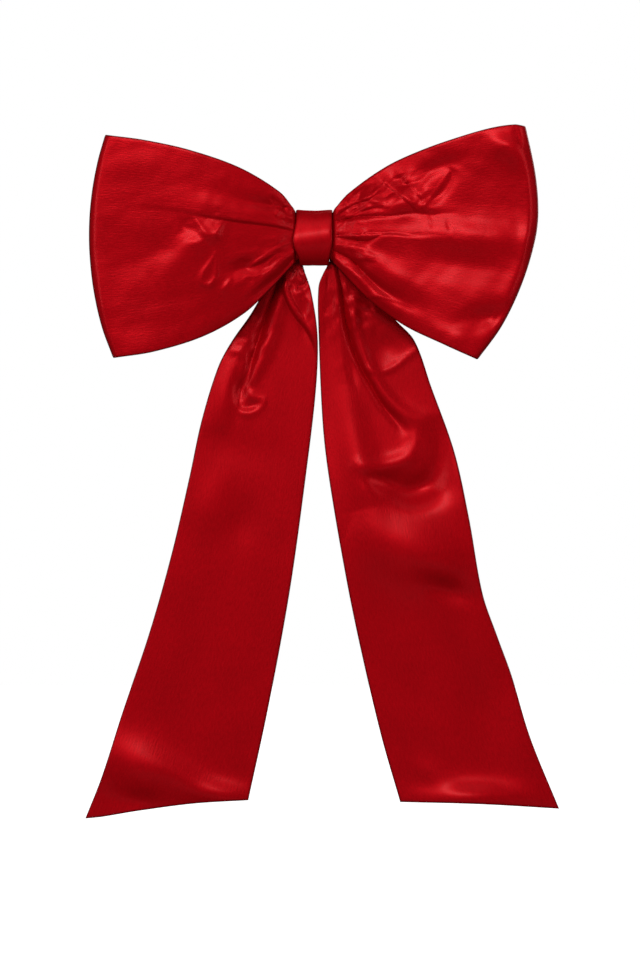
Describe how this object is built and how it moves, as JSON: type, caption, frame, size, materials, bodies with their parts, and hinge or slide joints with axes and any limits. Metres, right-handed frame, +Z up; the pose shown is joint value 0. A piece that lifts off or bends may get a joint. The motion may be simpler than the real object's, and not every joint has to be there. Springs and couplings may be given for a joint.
{
  "type": "hair bow barrette",
  "caption": "Large gathered satin bow with puffed loops and long slant-cut tails, on a sprung French barrette that closes over the hair.",
  "frame": {"origin": "middle of the hair jaw, the space between the back of the knot and the barrette's tension bar, straight behind the middle of the knot", "axes": "upright as worn: +Z up along the tails, -Y out of the bow's face, +X to the right of someone who looks at the face"},
  "size_m": [0.2132, 0.0354, 0.3117],
  "materials": {
    "satin": "glossy polyester satin",
    "thread": "twisted polyester sewing thread",
    "felt": "matte pressed felt",
    "nickel_plate": "bright nickel-plated spring steel"
  },
  "bodies": {
    "bow": {"left_loop": "satin", "right_loop": "satin", "tail_gather": "satin", "knot_band": "satin", "gather_thread": "thread", "knot_seam_thread": "thread", "felt_pad": "felt", "barrette_base": "nickel_plate", "hinge_pin": "nickel_plate", "catch_plate": "nickel_plate", "catch_rivet_upper": "nickel_plate", "catch_rivet_lower": "nickel_plate"},
    "left_tail": {"left_tail": "satin"},
    "right_tail": {"right_tail": "satin"},
    "clasp_arm": {"clasp_arm": "nickel_plate"},
    "tension_bar": {"tension_bar": "nickel_plate"},
    "upper_prong": {"catch_prong_upper": "nickel_plate"},
    "lower_prong": {"catch_prong_lower": "nickel_plate"}
  },
  "joints": [
    {"name": "clasp_hinge", "type": "hinge", "parent": "bow", "child": "clasp_arm", "pos_m": [0.038, 0.0039, 0], "axis": [0, 0, -1], "range_deg": [0, 80]},
    {"name": "tension_bar_hinge", "type": "hinge", "parent": "bow", "child": "tension_bar", "pos_m": [0.038, 0.0039, 0], "axis": [0, 0, -1], "range_deg": [0, 12]},
    {"name": "upper_prong_flex", "type": "hinge", "parent": "bow", "child": "upper_prong", "pos_m": [-0.0365, -0.00025, 0.00145], "axis": [-1, 0, 0], "range_deg": [0, 7], "stiffness_Nm_per_rad": 0.02},
    {"name": "lower_prong_flex", "type": "hinge", "parent": "bow", "child": "lower_prong", "pos_m": [-0.0365, -0.00025, -0.00145], "axis": [1, 0, 0], "range_deg": [0, 7], "stiffness_Nm_per_rad": 0.02},
    {"name": "left_tail_lift", "type": "hinge", "parent": "bow", "child": "left_tail", "pos_m": [-0.0181, -0.008, -0.0506], "axis": [-0.9606, 0, 0.278], "range_deg": [-30, 65]},
    {"name": "right_tail_lift", "type": "hinge", "parent": "bow", "child": "right_tail", "pos_m": [0.0247, -0.008, -0.0555], "axis": [-0.9629, 0, -0.27], "range_deg": [-30, 65]}
  ],
  "couplings": [
    {"joint": "tension_bar_hinge", "follows": "clasp_hinge", "ratio": 0.15}
  ]
}
